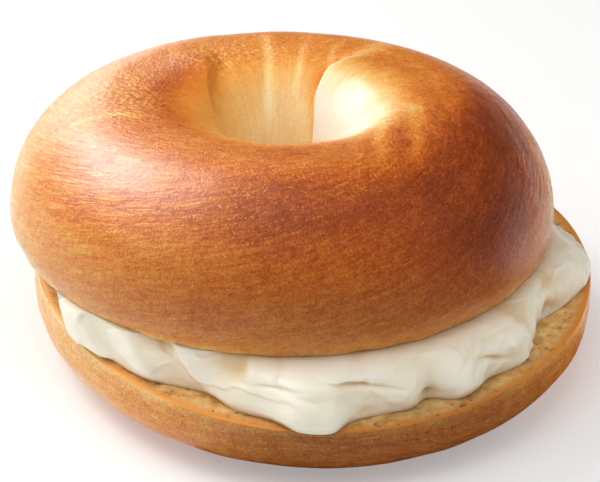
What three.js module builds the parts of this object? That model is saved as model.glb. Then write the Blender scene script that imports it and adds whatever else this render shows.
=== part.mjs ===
// A plain bagel, sliced slightly askew and put back together over a thick layer of soft
// white cheese. Millimetres, +Z up, standing on its flat foot with the origin under its middle.
//
// Angles round the rings are in degrees, counter-clockwise from +X seen from above, so the
// front of the bagel is at -90. Angles round the crown's section start at its outermost
// point (0), go over the top (90) and end at the neck of the hole (180).

import * as THREE from 'three';

// Driving dimensions ---------------------------------------------------------------------

// The dough rope that the ring was rolled from is a little uneven in thickness: each entry
// swells the ring by `amount` of its radius, `waves` times round, with a peak at `at`.
const BOTTOM_HALF = {
  centre: [1.96, 1.47],
  outerRadius: 55,
  uneven: [{ waves: 2, amount: 0.029, at: -53.5 }, { waves: 3, amount: 0.023, at: 26.6 }],
  widestHeight: 11.8, // where the outer wall stands upright
  footCorner: 18.4, // how far the wall curves in under the bagel
  footPower: 2.47,
  footHoleRadius: 21,
  holeRadius: 11,
  holePower: 2.2,
  leanRadius: 40, // the wall leans back in above its widest point on this radius
  cutHeight: 16.6,
  cutSlope: [-0.015, 0.059], // the knife ran uphill towards the back
};

const TOP_HALF = {
  offset: [-5.6, 3.55], // slipped sideways and back from the bottom half
  height: 23.53, // of its own origin, at the middle of its cut
  tilt: [-2.62, 0.47], // about X, then about Y, in degrees
  cutSlope: [-0.0006, 0.0600],
  uneven: [{ waves: 2, amount: 0.0114, at: -29 }, { waves: 3, amount: 0.0119, at: 33.9 }],
  ropeRadius: 32.33, // from the middle of the hole to the top of the crown
  outerReach: 20.35,
  holeRadius: 11,
  crownHeight: 22.66, // above the widest line
  belowWidest: 15.24, // how deep the uncut rope went below that line
  widestHeight: 3.97, // above the cut
  outerPower: 1.85,
  holePower: 2.91,
};

// The lap's and the shoulder's relief grows between these section angles, into the hole.
const INTO_HOLE = [88, 125];

// The end of the dough rope is lapped over its start in the hole: right of `at` the wall
// stands out, left of it the wall is pressed in. Its edge turns away near the crown and
// again deep in the hole, between the section angles of `upper` and of `lower`.
const LAP = {
  at: 61.5, height: 3.2, pressed: 1.3, pressedWidth: 9, sharp: 2.6, soft: 8, spread: 50,
  upperTurn: 5, upper: [92, 126], lowerTurn: 10, lower: [138, 166],
};

// On the left the rope bulges into the hole, behind a soft edge that runs down and away.
const SHOULDER = { at: 128, height: 2.2, soft: 7, spread: 46, turn: 42, turning: [105, 150] };

// Furrows pulled into the far wall of the hole when the ring was closed. Each drifts round
// the ring between the section angles of FURROW_DRIFT and fades out towards its `ends`.
const FURROWS = [
  { at: 69.5, drift: -9, width: 0.60, depth: 0.40, ends: [84, 140] },
  { at: 82.5, drift: 0, width: 0.55, depth: 0.30, ends: [84, 146] },
  { at: 98, drift: 5, width: 0.75, depth: 0.45, ends: [78, 164] },
  { at: 117, drift: 12, width: 0.90, depth: 0.14, ends: [90, 136] },
];
const FURROW_DRIFT = [88, 150];
const FURROW_FADE = { in: 16, out: 24 };

// The cheese was spread with a knife: its edge runs in and out round the ring, as
// [angle, radius] pairs about the middle of the bottom half.
const CHEESE = {
  gap: 0.3, // to the crumb above and below
  holeRadius: 14.5,
  lipHeight: 0.18, // of the layer's thickness, where its edge stands out furthest
  undercut: 0.4,
  innerBulge: 1.6,
  proud: 0.3, // how far outside the top half's edge the cheese meets its crumb
  power: 2.8,
  slump: { at: 7, spread: 15, power: 0.8 }, // here its side slopes instead of bulging
  edge: [
    [-172, 49.6], [-157, 51.3], [-147, 52.8], [-136, 51.1], [-126, 51.2], [-112.5, 49.3],
    [-105, 52.4], [-97, 54.2], [-92, 57.0], [-86, 57.2], [-82.5, 54.2], [-76, 52.8],
    [-70, 52.5], [-65.6, 50.6], [-60, 53.2], [-55, 52.6], [-50.5, 51.2], [-41, 52.2],
    [-35, 50.2], [-27, 47.8], [-17, 50.8], [-6, 54.2], [4, 54.3], [10, 53.0], [14, 48.8],
    [19, 47.2], [27, 48.0], [37, 50.4], [50, 52.6], [68, 50.2], [88, 53.0], [108, 50.6], [128, 53.4], [150, 50.4], [170, 51.8],
  ],
};

// The knife's marks in the cheese's side, as swells (positive heights) and valleys: the ring
// angle and the share of the thickness at the middle of each, how it climbs along its width
// or leans with height, and its size. `steep` is its width on the side of larger angles,
// where that differs.
const STROKES = [
  { at: -140, up: 0.55, lean: -9, wide: 9, steep: 1.8, tall: 0.9, height: 1.8 },
  { at: -126.5, up: 0.55, lean: -9, wide: 6, steep: 1.8, tall: 0.9, height: 1.2 },
  { at: -114.5, up: 0.55, lean: -9, wide: 1.8, steep: 6, tall: 0.9, height: 1.2 },
  { at: -104.5, up: 0.95, wide: 5.5, steep: 1.8, tall: 0.24, height: -2.4 },
  { at: -93, up: 0.35, wide: 8, tall: 0.35, height: 1.2 },
  { at: -90, up: 0.95, wide: 11, tall: 0.16, height: 1.5 },
  { at: -96.5, up: 1.00, wide: 3, steep: 1.6, tall: 0.08, height: -1.6 },
  { at: -97, up: 0.74, climb: 0.05, wide: 4, tall: 0.04, height: -0.5 },
  { at: -84, up: 0.82, climb: -0.22, wide: 9, tall: 0.045, height: -1.2 },
  { at: -82, up: 0.94, climb: -0.16, wide: 9, tall: 0.1, height: 0.6 },
  { at: -80.5, up: 1.00, wide: 2.5, tall: 0.08, height: -1.5 },
  { at: -78.5, up: 0.10, wide: 1.6, tall: 0.12, height: -0.6 },
  { at: -71, up: 0.45, wide: 4, tall: 0.25, height: 0.5 },
  { at: -65.5, up: 0.07, wide: 1.8, tall: 0.16, height: -2.4 },
  { at: -59, up: 0.45, wide: 4.5, tall: 0.30, height: 0.9 },
  { at: -50, up: 0.50, climb: -0.16, wide: 4.5, tall: 0.06, height: -1.0 },
  { at: -45, up: 0.68, wide: 4, tall: 0.20, height: 0.8 },
  { at: -38, up: 0.95, wide: 4, tall: 0.22, height: -1.5 },
  { at: -29, up: 0.60, wide: 3, tall: 0.30, height: 0.7 },
  { at: -22.8, up: 0.26, wide: 2.8, tall: 0.15, height: -1.7 },
  { at: -20, up: 0.88, wide: 3.5, tall: 0.20, height: -1.3 },
  { at: -8, up: 0.65, wide: 7, tall: 0.35, height: 0.4 },
  { at: 10, up: 0.50, lean: 8, wide: 2, tall: 0.50, height: -1.2 },
  { at: 24, up: 0.50, wide: 6, tall: 0.30, height: 0.8 },
  { at: 38, up: 0.45, climb: 0.20, wide: 8, tall: 0.10, height: -1.1 },
  { at: 58, up: 0.60, lean: -6, wide: 2, tall: 0.50, height: -1.3 },
  { at: 76, up: 0.40, wide: 7, tall: 0.30, height: 0.9 },
  { at: 92, up: 0.75, climb: -0.15, wide: 7, tall: 0.08, height: -1.0 },
  { at: 108, up: 0.50, lean: 5, wide: 2, tall: 0.50, height: -1.2 },
  { at: 124, up: 0.45, wide: 6, tall: 0.35, height: 0.9 },
  { at: 140, up: 0.55, climb: 0.20, wide: 8, tall: 0.08, height: -1.1 },
  { at: 158, up: 0.50, lean: -6, wide: 2, tall: 0.50, height: -1.2 },
  { at: 172, up: 0.50, wide: 5, tall: 0.35, height: 0.8 },
  { at: -160, up: 0.55, lean: 5, wide: 1.8, tall: 0.45, height: -1.0 },
];

// How finely the solids are faceted: columns go round the ring, in spans up to the angle
// `to` from the end of the span before, and rows along the section.
const BOTTOM_COLUMNS = [{ to: 180, step: 4.5 }];
const CHEESE_COLUMNS = [{ to: -20, step: 2.5 }, { to: 180, step: 10 / 3 }];
const TOP_COLUMNS = [
  { to: 48, step: 4 }, { to: 105, step: 1.5 }, { to: 126, step: 2.625 }, { to: 180, step: 3.6 },
];
const CRUST_ROWS = 20;
const WALL_ROWS = 8;
const HOLE_ROWS = 4;
const CUT_ROWS = 2;
const INNER_CHEESE_ROWS = 3;
const EDGE_SAMPLES = 720; // along the curve of the cheese's edge

// How many steps the searches take to close in on where the crust crosses the cut, and on
// how far that edge is from the middle of the bottom half.
const HALVINGS = 30;
const REACH_STEPS = 8;

// Small helpers --------------------------------------------------------------------------

const radians = THREE.MathUtils.degToRad;
const smoothstep = THREE.MathUtils.smoothstep;
const lerp = THREE.MathUtils.lerp;

function bell(distance, width) {
  return Math.exp(-((distance / width) ** 2));
}

// The difference between two ring angles, from -180 to 180.
function turnBetween(angle, from) {
  return THREE.MathUtils.euclideanModulo(angle - from + 180, 360) - 180;
}

// Evenly spaced numbers from 0 to 1, both included.
function fractions(count) {
  return Array.from({ length: count + 1 }, (unused, i) => i / count);
}

// How much the uneven rope swells the ring at an angle.
function swelling(uneven, angle) {
  return uneven.reduce(
    (sum, { waves, amount, at }) => sum + amount * Math.cos(waves * radians(angle - at)), 1);
}

// A point on a superellipse, from the angle of the matching point on a circle.
function superellipse(angle, halfWidth, halfHeight, power) {
  const c = Math.cos(radians(angle));
  const s = Math.sin(radians(angle));
  return [
    halfWidth * Math.sign(c) * Math.abs(c) ** (2 / power),
    halfHeight * Math.sign(s) * Math.abs(s) ** (2 / power),
  ];
}

function columnAngles(spans) {
  let from = -180;
  return spans.flatMap(({ to, step }) => {
    const count = Math.round((to - from) / step);
    const span = fractions(count).slice(0, -1).map((t) => lerp(from, to, t));
    from = to;
    return span;
  });
}

// A closed ring solid. `sectionAt` gives the closed outline of the section at an angle as
// [x, y, z] points, all sections with the same number of points, counter-clockwise when
// seen with the outside of the ring on the right.
function ringSolid(spans, sectionAt) {
  const sections = columnAngles(spans).map(sectionAt);
  const rows = sections[0].length;
  const indices = [];
  sections.forEach((unused, column) => {
    const next = (column + 1) % sections.length;
    for (let row = 0; row < rows; row += 1) {
      const above = (row + 1) % rows;
      const corners = [
        column * rows + row, next * rows + row, next * rows + above, column * rows + above,
      ];
      indices.push(corners[0], corners[1], corners[2], corners[0], corners[2], corners[3]);
    }
  });
  const geometry = new THREE.BufferGeometry();
  geometry.setAttribute('position', new THREE.Float32BufferAttribute(sections.flat(2), 3));
  geometry.setIndex(indices);
  geometry.computeVertexNormals();
  return geometry;
}

// The bottom half ------------------------------------------------------------------------

function bottomCutHeight(x, y) {
  const { centre, cutHeight, cutSlope } = BOTTOM_HALF;
  return cutHeight + cutSlope[0] * (x - centre[0]) + cutSlope[1] * (y - centre[1]);
}

function bottomPoint(angle, radius) {
  const { centre, uneven } = BOTTOM_HALF;
  const swollen = radius * swelling(uneven, angle);
  return [
    centre[0] + swollen * Math.cos(radians(angle)),
    centre[1] + swollen * Math.sin(radians(angle)),
  ];
}

function bottomSection(angle) {
  const half = BOTTOM_HALF;
  const placed = (radius, z) => [...bottomPoint(angle, radius), z];
  const onCut = (radius) => {
    const [x, y] = bottomPoint(angle, radius);
    return [x, y, bottomCutHeight(x, y)];
  };
  const footRadius = half.outerRadius - half.footCorner;
  const outerWall = fractions(WALL_ROWS).map((t) => {
    const [r, z] = superellipse(90 * (1 - t), half.footCorner, half.widestHeight, half.footPower);
    return placed(footRadius + r, half.widestHeight - z);
  });
  const rimHeight = onCut(half.outerRadius)[2];
  const above = rimHeight - half.widestHeight;
  const rimRadius = half.outerRadius - above ** 2 / (2 * half.leanRadius);
  const nearRim = half.outerRadius - (above / 2) ** 2 / (2 * half.leanRadius);
  const upperWall = [placed(nearRim, half.widestHeight + above / 2)];
  const cutFace = fractions(CUT_ROWS).map((t) => onCut(lerp(rimRadius, half.holeRadius, t)));
  const holeCorner = half.footHoleRadius - half.holeRadius;
  const holeWall = fractions(HOLE_ROWS).map((t) => {
    const [r, z] = superellipse(90 * t, holeCorner, half.widestHeight, half.holePower);
    return placed(half.footHoleRadius - r, half.widestHeight - z);
  });
  return [...outerWall, ...upperWall, ...cutFace, ...holeWall];
}

// The top half ---------------------------------------------------------------------------

// How many degrees a point lies past the lap's edge, on the bulge's side.
function lapDistance(angle, sectionAngle) {
  const edge = LAP.at - LAP.upperTurn * (1 - smoothstep(sectionAngle, ...LAP.upper))
    - LAP.lowerTurn * smoothstep(sectionAngle, ...LAP.lower);
  return turnBetween(edge, angle);
}

// How many degrees a point lies past the shoulder's edge, on the left bulge's side.
function shoulderDistance(angle, sectionAngle) {
  return turnBetween(
    angle, SHOULDER.at + SHOULDER.turn * smoothstep(sectionAngle, ...SHOULDER.turning));
}

// About how far the crust lies from the ring's axis at a section angle.
function ringRadius(sectionAngle) {
  const { outerReach, ropeRadius, holeRadius } = TOP_HALF;
  const c = Math.cos(radians(sectionAngle));
  return ropeRadius + c * (c >= 0 ? outerReach : ropeRadius - holeRadius);
}

// How far a furrow's valley lies below the crust at a point.
function furrowDepth({ at, drift, width, depth, ends }, angle, sectionAngle) {
  const middle = at + drift * smoothstep(sectionAngle, ...FURROW_DRIFT);
  const off = radians(turnBetween(angle, middle)) * ringRadius(sectionAngle);
  const [first, last] = ends;
  return depth * bell(off, width) * smoothstep(sectionAngle, first, first + FURROW_FADE.in)
    * (1 - smoothstep(sectionAngle, last - FURROW_FADE.out, last));
}

// How far the lap, the shoulder and the furrows move the crust inwards or outwards, for a
// ring angle and an angle round the section.
function holeRelief(angle, sectionAngle) {
  const inHole = smoothstep(sectionAngle, ...INTO_HOLE);

  const pastLap = lapDistance(angle, sectionAngle);
  const lapEdge = lerp(LAP.soft, LAP.sharp, inHole);
  const lapRise = smoothstep(pastLap, -lapEdge, lapEdge);
  const lap = LAP.height * lapRise * bell(Math.max(pastLap, 0), LAP.spread)
    - LAP.pressed * (1 - lapRise) * bell(Math.min(pastLap, 0), LAP.pressedWidth);

  const pastShoulder = shoulderDistance(angle, sectionAngle);
  const shoulder = SHOULDER.height
    * smoothstep(pastShoulder, -SHOULDER.soft, SHOULDER.soft)
    * bell(Math.max(pastShoulder, 0), SHOULDER.spread);

  const furrows = FURROWS.reduce(
    (sum, furrow) => sum + furrowDepth(furrow, angle, sectionAngle), 0);
  return (lap + shoulder) * inHole - furrows;
}

// The crust of the top half at a ring angle and a section angle, in its own frame.
function crustPoint(angle, sectionAngle) {
  const half = TOP_HALF;
  const outside = Math.cos(radians(sectionAngle)) >= 0;
  const above = Math.sin(radians(sectionAngle)) >= 0;
  const halfWidth = outside ? half.outerReach : half.ropeRadius - half.holeRadius;
  const halfHeight = above ? half.crownHeight : half.belowWidest;
  const power = outside ? half.outerPower : half.holePower;
  const [across, up] = superellipse(sectionAngle, halfWidth, halfHeight, power);
  const relief = holeRelief(angle, sectionAngle);
  const direction = Math.atan2(up / halfHeight, across / halfWidth);
  const radius = (half.ropeRadius + across) * swelling(half.uneven, angle)
    + relief * Math.cos(direction);
  return [
    radius * Math.cos(radians(angle)),
    radius * Math.sin(radians(angle)),
    half.widestHeight + up + relief * Math.sin(direction),
  ];
}

function topCutHeight(x, y) {
  return TOP_HALF.cutSlope[0] * x + TOP_HALF.cutSlope[1] * y;
}

// The section angles below and above the cut between which the crust crosses it.
const OUTER_CUT = [-80, 40];
const INNER_CUT = [260, 140];

// The section angle, between two others, at which the crust crosses the cut.
function cutAngle(angle, first, last) {
  let [below, above] = [first, last];
  for (let i = 0; i < HALVINGS; i += 1) {
    const middle = (below + above) / 2;
    const [x, y, z] = crustPoint(angle, middle);
    if (z < topCutHeight(x, y)) {
      below = middle;
    } else {
      above = middle;
    }
  }
  return above;
}

function topSection(angle) {
  const outerCut = cutAngle(angle, ...OUTER_CUT);
  const innerCut = cutAngle(angle, ...INNER_CUT);
  const crust = fractions(CRUST_ROWS).map(
    (t) => crustPoint(angle, lerp(outerCut, innerCut, t)));
  const [outer, inner] = [crust[0], crust[CRUST_ROWS]];
  const cutFace = fractions(CUT_ROWS).map((t) => {
    const [x, y] = [lerp(inner[0], outer[0], t), lerp(inner[1], outer[1], t)];
    return [x, y, topCutHeight(x, y)];
  });
  return [...cutFace, ...crust.slice(1, -1)];
}

// Where the top half sits.
function placeTopHalf(object) {
  const { offset, height, tilt } = TOP_HALF;
  const [x, y] = BOTTOM_HALF.centre;
  object.position.set(x + offset[0], y + offset[1], height);
  object.rotation.set(radians(tilt[0]), radians(tilt[1]), 0, 'YXZ');
  object.updateMatrixWorld();
}

// The cheese -----------------------------------------------------------------------------

const seat = new THREE.Object3D();
placeTopHalf(seat);
const seatNormal = new THREE.Vector3(-TOP_HALF.cutSlope[0], -TOP_HALF.cutSlope[1], 1)
  .applyEuler(seat.rotation);

// The height of the top half's crumb over a point, as placed.
function ceilingHeight(x, y) {
  const { position } = seat;
  const drop = seatNormal.x * (x - position.x) + seatNormal.y * (y - position.y);
  return position.z - drop / seatNormal.z;
}

// How far the top half's cut edge is from the bottom half's middle, in a direction.
function coverRadius(angle) {
  const [x, y] = BOTTOM_HALF.centre;
  let reach = BOTTOM_HALF.outerRadius;
  for (let i = 0; i < REACH_STEPS; i += 1) {
    const across = x + reach * Math.cos(radians(angle)) - seat.position.x;
    const along = y + reach * Math.sin(radians(angle)) - seat.position.y;
    const bearing = THREE.MathUtils.radToDeg(Math.atan2(along, across));
    const [u, v] = crustPoint(bearing, cutAngle(bearing, ...OUTER_CUT));
    reach += Math.hypot(u, v) - Math.hypot(across, along);
  }
  return reach;
}

// A smooth closed curve through the [angle, radius] pairs of the cheese's edge.
const edgeCurve = new THREE.CatmullRomCurve3(
  CHEESE.edge.map(([angle, radius]) => new THREE.Vector3(
    radius * Math.cos(radians(angle)), radius * Math.sin(radians(angle)), 0)),
  true, 'centripetal');
const edgeSamples = edgeCurve.getPoints(EDGE_SAMPLES).map((point) => [
  THREE.MathUtils.radToDeg(Math.atan2(point.y, point.x)), Math.hypot(point.x, point.y)]);

function edgeRadius(angle) {
  const nearest = edgeSamples
    .map(([sampleAngle, radius]) => [Math.abs(turnBetween(angle, sampleAngle)), radius])
    .sort((a, b) => a[0] - b[0])
    .slice(0, 2);
  const total = nearest[0][0] + nearest[1][0];
  return total === 0 ? nearest[0][1]
    : (nearest[0][1] * nearest[1][0] + nearest[1][1] * nearest[0][0]) / total;
}

// How far the knife's marks move the cheese's side, at an angle and a share of the thickness.
function strokeRelief(angle, share) {
  return STROKES.reduce((sum, stroke) => {
    const { at, up, lean = 0, climb = 0, wide, steep = wide, tall, height } = stroke;
    const turn = turnBetween(angle, at + lean * (share - 0.5));
    const along = turn / (turn < 0 ? wide : steep);
    return sum + height * bell(along, 1) * bell(share - (up + climb * along), tall);
  }, 0);
}

function cheeseSection(angle) {
  const { centre } = BOTTOM_HALF;
  const [c, s] = [Math.cos(radians(angle)), Math.sin(radians(angle))];
  const placed = (radius, up) => {
    const [x, y] = [centre[0] + radius * c, centre[1] + radius * s];
    const floor = bottomCutHeight(x, y) + CHEESE.gap;
    const ceiling = ceilingHeight(x, y) - CHEESE.gap;
    return [x, y, lerp(floor, ceiling, up)];
  };
  const reach = edgeRadius(angle);
  const meets = Math.min(coverRadius(angle), reach) + CHEESE.proud;
  const slumped = bell(turnBetween(angle, CHEESE.slump.at), CHEESE.slump.spread);
  const power = lerp(CHEESE.power, CHEESE.slump.power, slumped);
  const outerFace = fractions(WALL_ROWS).map((t) => {
    const [r, h] = superellipse(90 * t, reach - meets, 1 - CHEESE.lipHeight, power);
    const up = CHEESE.lipHeight + h;
    return placed(meets + r + strokeRelief(angle, up), up);
  });
  const lip = [placed(reach - CHEESE.undercut, 0)];
  const topFace = [placed(lerp(meets, CHEESE.holeRadius, 0.5), 1)];
  const innerFace = fractions(INNER_CHEESE_ROWS).map(
    (t) => placed(CHEESE.holeRadius - CHEESE.innerBulge * Math.sin(Math.PI * t), 1 - t));
  const bottomFace = [placed(lerp(CHEESE.holeRadius, reach, 0.5), 0)];
  return [...lip, ...outerFace, ...topFace, ...innerFace, ...bottomFace];
}

// The bagel ------------------------------------------------------------------------------

const crustBottom = new THREE.MeshStandardMaterial({ color: 0xb5713a, roughness: 0.5 });
const crustTop = new THREE.MeshStandardMaterial({ color: 0xc47a35, roughness: 0.38 });
const softCheese = new THREE.MeshStandardMaterial({ color: 0xeeeadb, roughness: 0.45 });

function named(name, geometry, material) {
  const mesh = new THREE.Mesh(geometry, material);
  mesh.name = name;
  return mesh;
}

const bottomHalf = named('bottom_half', ringSolid(BOTTOM_COLUMNS, bottomSection), crustBottom);
const cheese = named('cream_cheese', ringSolid(CHEESE_COLUMNS, cheeseSection), softCheese);
const topHalf = named('top_half', ringSolid(TOP_COLUMNS, topSection), crustTop);
placeTopHalf(topHalf);

const bagel = new THREE.Group();
bagel.add(bottomHalf, cheese, topHalf);

export default bagel;
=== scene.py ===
from collections import namedtuple
import itertools
import math

import bpy
import numpy as np
from mathutils import Matrix, Vector


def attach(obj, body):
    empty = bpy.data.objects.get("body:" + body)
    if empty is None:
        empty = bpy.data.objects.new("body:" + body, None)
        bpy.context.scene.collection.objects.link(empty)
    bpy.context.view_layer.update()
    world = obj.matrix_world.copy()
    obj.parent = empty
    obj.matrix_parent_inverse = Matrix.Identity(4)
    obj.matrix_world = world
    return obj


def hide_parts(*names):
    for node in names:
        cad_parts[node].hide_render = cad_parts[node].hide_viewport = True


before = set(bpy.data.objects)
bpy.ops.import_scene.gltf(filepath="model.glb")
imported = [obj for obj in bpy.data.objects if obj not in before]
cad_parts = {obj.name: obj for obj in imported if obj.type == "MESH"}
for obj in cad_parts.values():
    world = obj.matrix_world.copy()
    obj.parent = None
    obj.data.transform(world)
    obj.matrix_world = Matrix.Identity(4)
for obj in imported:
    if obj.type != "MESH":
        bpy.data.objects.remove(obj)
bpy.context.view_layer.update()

# A sliced bagel over a layer of cream cheese. The shapes are worked out in millimetres by the
# functions and sizes of the solids, with finer relief added. Only the furrows are softer, the
# cheese has one hollow more, and it reaches the crumb. Angles round the rings are in degrees,
# counter-clockwise from +X seen from above, so the front is at -90. Angles round the crown's
# section go from its outermost point (0) over the top (90) to the neck of the hole (180).

MM = 0.001

# ---- The forms

BOTTOM_HALF = dict(
    centre=(1.96, 1.47),
    outer_radius=55,
    uneven=[(2, 0.029, -53.5), (3, 0.023, 26.6)],
    widest_height=11.8,
    foot_corner=18.4,
    foot_power=2.47,
    foot_hole_radius=21,
    hole_radius=11,
    hole_power=2.2,
    lean_radius=40,
    cut_height=16.6,
    cut_slope=(-0.015, 0.059),
)

TOP_HALF = dict(
    offset=(-5.6, 3.55),
    height=23.53,
    tilt=(-2.62, 0.47),
    cut_slope=(-0.0006, 0.0600),
    uneven=[(2, 0.0114, -29), (3, 0.0119, 33.9)],
    rope_radius=32.33,
    outer_reach=20.35,
    hole_radius=11,
    crown_height=22.66,
    below_widest=15.24,
    widest_height=3.97,
    outer_power=1.85,
    hole_power=2.91,
)

INTO_HOLE = (88, 125)
LAP = dict(at=61.5, height=3.2, pressed=1.3, pressed_width=9, sharp=2.6, soft=8, spread=50,
           upper_turn=5, upper=(92, 126), lower_turn=10, lower=(138, 166))
SHOULDER = dict(at=128, height=2.2, soft=7, spread=46, turn=42, turning=(105, 150))
FURROWS = [
    dict(at=69.5, drift=-9, width=0.90, depth=0.24, ends=(84, 140)),
    dict(at=82.5, drift=0, width=0.90, depth=0.18, ends=(84, 146)),
    dict(at=98, drift=5, width=1.20, depth=0.26, ends=(78, 164)),
    dict(at=117, drift=12, width=1.20, depth=0.10, ends=(90, 136)),
]
FURROW_DRIFT = (88, 150)
FURROW_FADE = (16, 24)
FURROW_PALENESS = 0.50  # of browning for each millimetre of depth

# Where the crust has browned more (or less) than evenly, with some patches of painted sheen and
# light among them: each patch's middle as ring angle and section angle, how far it spreads each
# way, and how much it changes the browning.
EVEN_BROWNING = 0.46
BROWNED_AND_PAINTED_LIGHT = [
    ((-34, 58), (48, 36), 0.30),
    ((-92, 56), (30, 22), 0.16),
    # Paler on the left flank: partly its own colour, partly a painted sheen.
    ((-178, 30), (24, 46), -0.20),
    ((168, 78), (34, 16), -0.06),
    ((-172, 108), (30, 14), 0.10),
    ((-54, 6), (30, 24), 0.12),
    # Paler at the right rim: a painted sheen.
    ((4, 24), (22, 28), -0.22),
    ((-8, 72), (24, 16), 0.11),
    # Paler low on the left: painted light.
    ((-165, -4), (24, 18), -0.12),
    ((15, 88), (34, 24), 0.02),
    ((-172, 78), (18, 14), 0.03),
    ((160, 112), (24, 20), 0.12),
    ((-150, 100), (18, 10), 0.05),
    ((-40, 28), (17, 14), 0.19),
    ((-88, 60), (24, 8), -0.04),
    ((-84, 6), (36, 14), -0.05),
    ((-110, 38), (18, 24), -0.04),
    ((-176, 94), (18, 10), -0.06),
    ((-58, 76), (12, 8), -0.06),
    ((-66, 52), (12, 14), 0.02),
    ((-86, 35), (20, 12), 0.02),
    ((-106, 3), (14, 8), 0.06),
    ((-96, 100), (30, 8), 0.08),
    ((-136, 20), (26, 16), -0.05),
    ((-112, 52), (10, 14), -0.04),
    # Paler at the right rim: a painted sheen.
    ((8, 28), (18, 16), -0.13),
    ((-96, 12), (22, 14), 0.06),
    ((-16, 104), (14, 8), -0.07),
]

# Stretch marks, pale and dark, that fan out from the white bulge, and a pale ridge on the left,
# which is a painted highlight: section and ring angles along each, its width to each side in
# millimetres, and its change at the start. Each fades out along its second half.
STRETCH_MARKS_AND_RIDGE_HIGHLIGHT = [
    dict(path=[(112, -28), (103, -42), (95, -52), (87, -58), (72, -61)], width=1.1, change=-0.13),
    dict(path=[(101, -12), (96, -24), (91, -38), (80, -46), (60, -57)], width=1.5, change=-0.13),
    dict(path=[(107, -18), (96, -38), (87, -50), (72, -56)], width=1.2, change=0.07),
    dict(path=[(106, -52), (96, -62), (82, -68)], width=1.0, change=-0.06),
    # The pale ridge on the left: a painted highlight.
    dict(path=[(64, -166), (78, -163), (89, -161), (97, -155), (103, -148)], width=0.9,
         change=-0.15),
]

# Where the dough stays white: the section angle at which it starts, and how that shifts
# round the ring (ring angle, spread, change).
WHITE_START = 111
WHITE_DRIFT = [(-46, 24, -3), (50, 12, 5), (20, 20, 5)]

# Where the crust is most wrinkled, blistered and pebbled: middles, spreads and amounts.
WRINKLED_LEFT = (-150, 55), (46, 42)
WRINKLED_RIGHT = (0, 42), (26, 34)
WRINKLED_RIM = (-6, 30), (24, 22)
BLISTERED = [((-100, 70), (55, 34), 1.0), ((135, 96), (45, 26), 1.2)]
PEBBLED = [((-176, 90), (24, 18), 1.0), ((122, 104), (26, 12), 1.0)]

# The bottom half's browning, and the painted light and shade that make its crust and crumb
# lighter or darker: the even value, and changes as ring angle, spread and amount.
BOTTOM_BROWNING = 0.44
# Paler on the left: partly its own colour, partly a painted sheen.
BOTTOM_BROWNED_AND_PAINTED_SHEEN = [(-72, 34, 0.06), (-160, 40, -0.17)]
BOTTOM_PAINTED_SHADING = 1.02
BOTTOM_PAINTED_SHADING_CHANGES = [(-94, 20, -0.36), (-58, 30, -0.40), (-16, 20, 0.38)]
CRUMB_PAINTED_SHADING_CHANGES = [(-67, 24, -0.26)]

CHEESE = dict(
    gap=0.3,
    swell=(0.35, 0.32),
    sunk=(0.05, 0.02),
    hole_radius=14.5,
    lip_height=0.18,
    undercut=0.4,
    inner_bulge=1.6,
    proud=0.3,
    power=2.8,
    slump=dict(at=7, spread=15, power=0.8),
    edge=[
        (-172, 49.6), (-157, 51.3), (-147, 52.8), (-136, 51.1), (-126, 51.2), (-112.5, 49.3),
        (-105, 52.4), (-97, 54.2), (-92, 57.0), (-86, 57.2), (-82.5, 54.2), (-76, 52.8),
        (-70, 52.5), (-65.6, 50.6), (-60, 53.2), (-55, 52.6), (-50.5, 51.2), (-41, 52.2),
        (-35, 50.2), (-27, 47.8), (-17, 50.8), (-6, 54.2), (4, 54.3), (10, 53.0), (14, 48.8),
        (19, 47.2), (27, 48.0), (37, 50.4), (50, 52.6), (68, 50.2), (88, 53.0), (108, 50.6),
        (128, 53.4), (150, 50.4), (170, 51.8),
    ],
)

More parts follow.
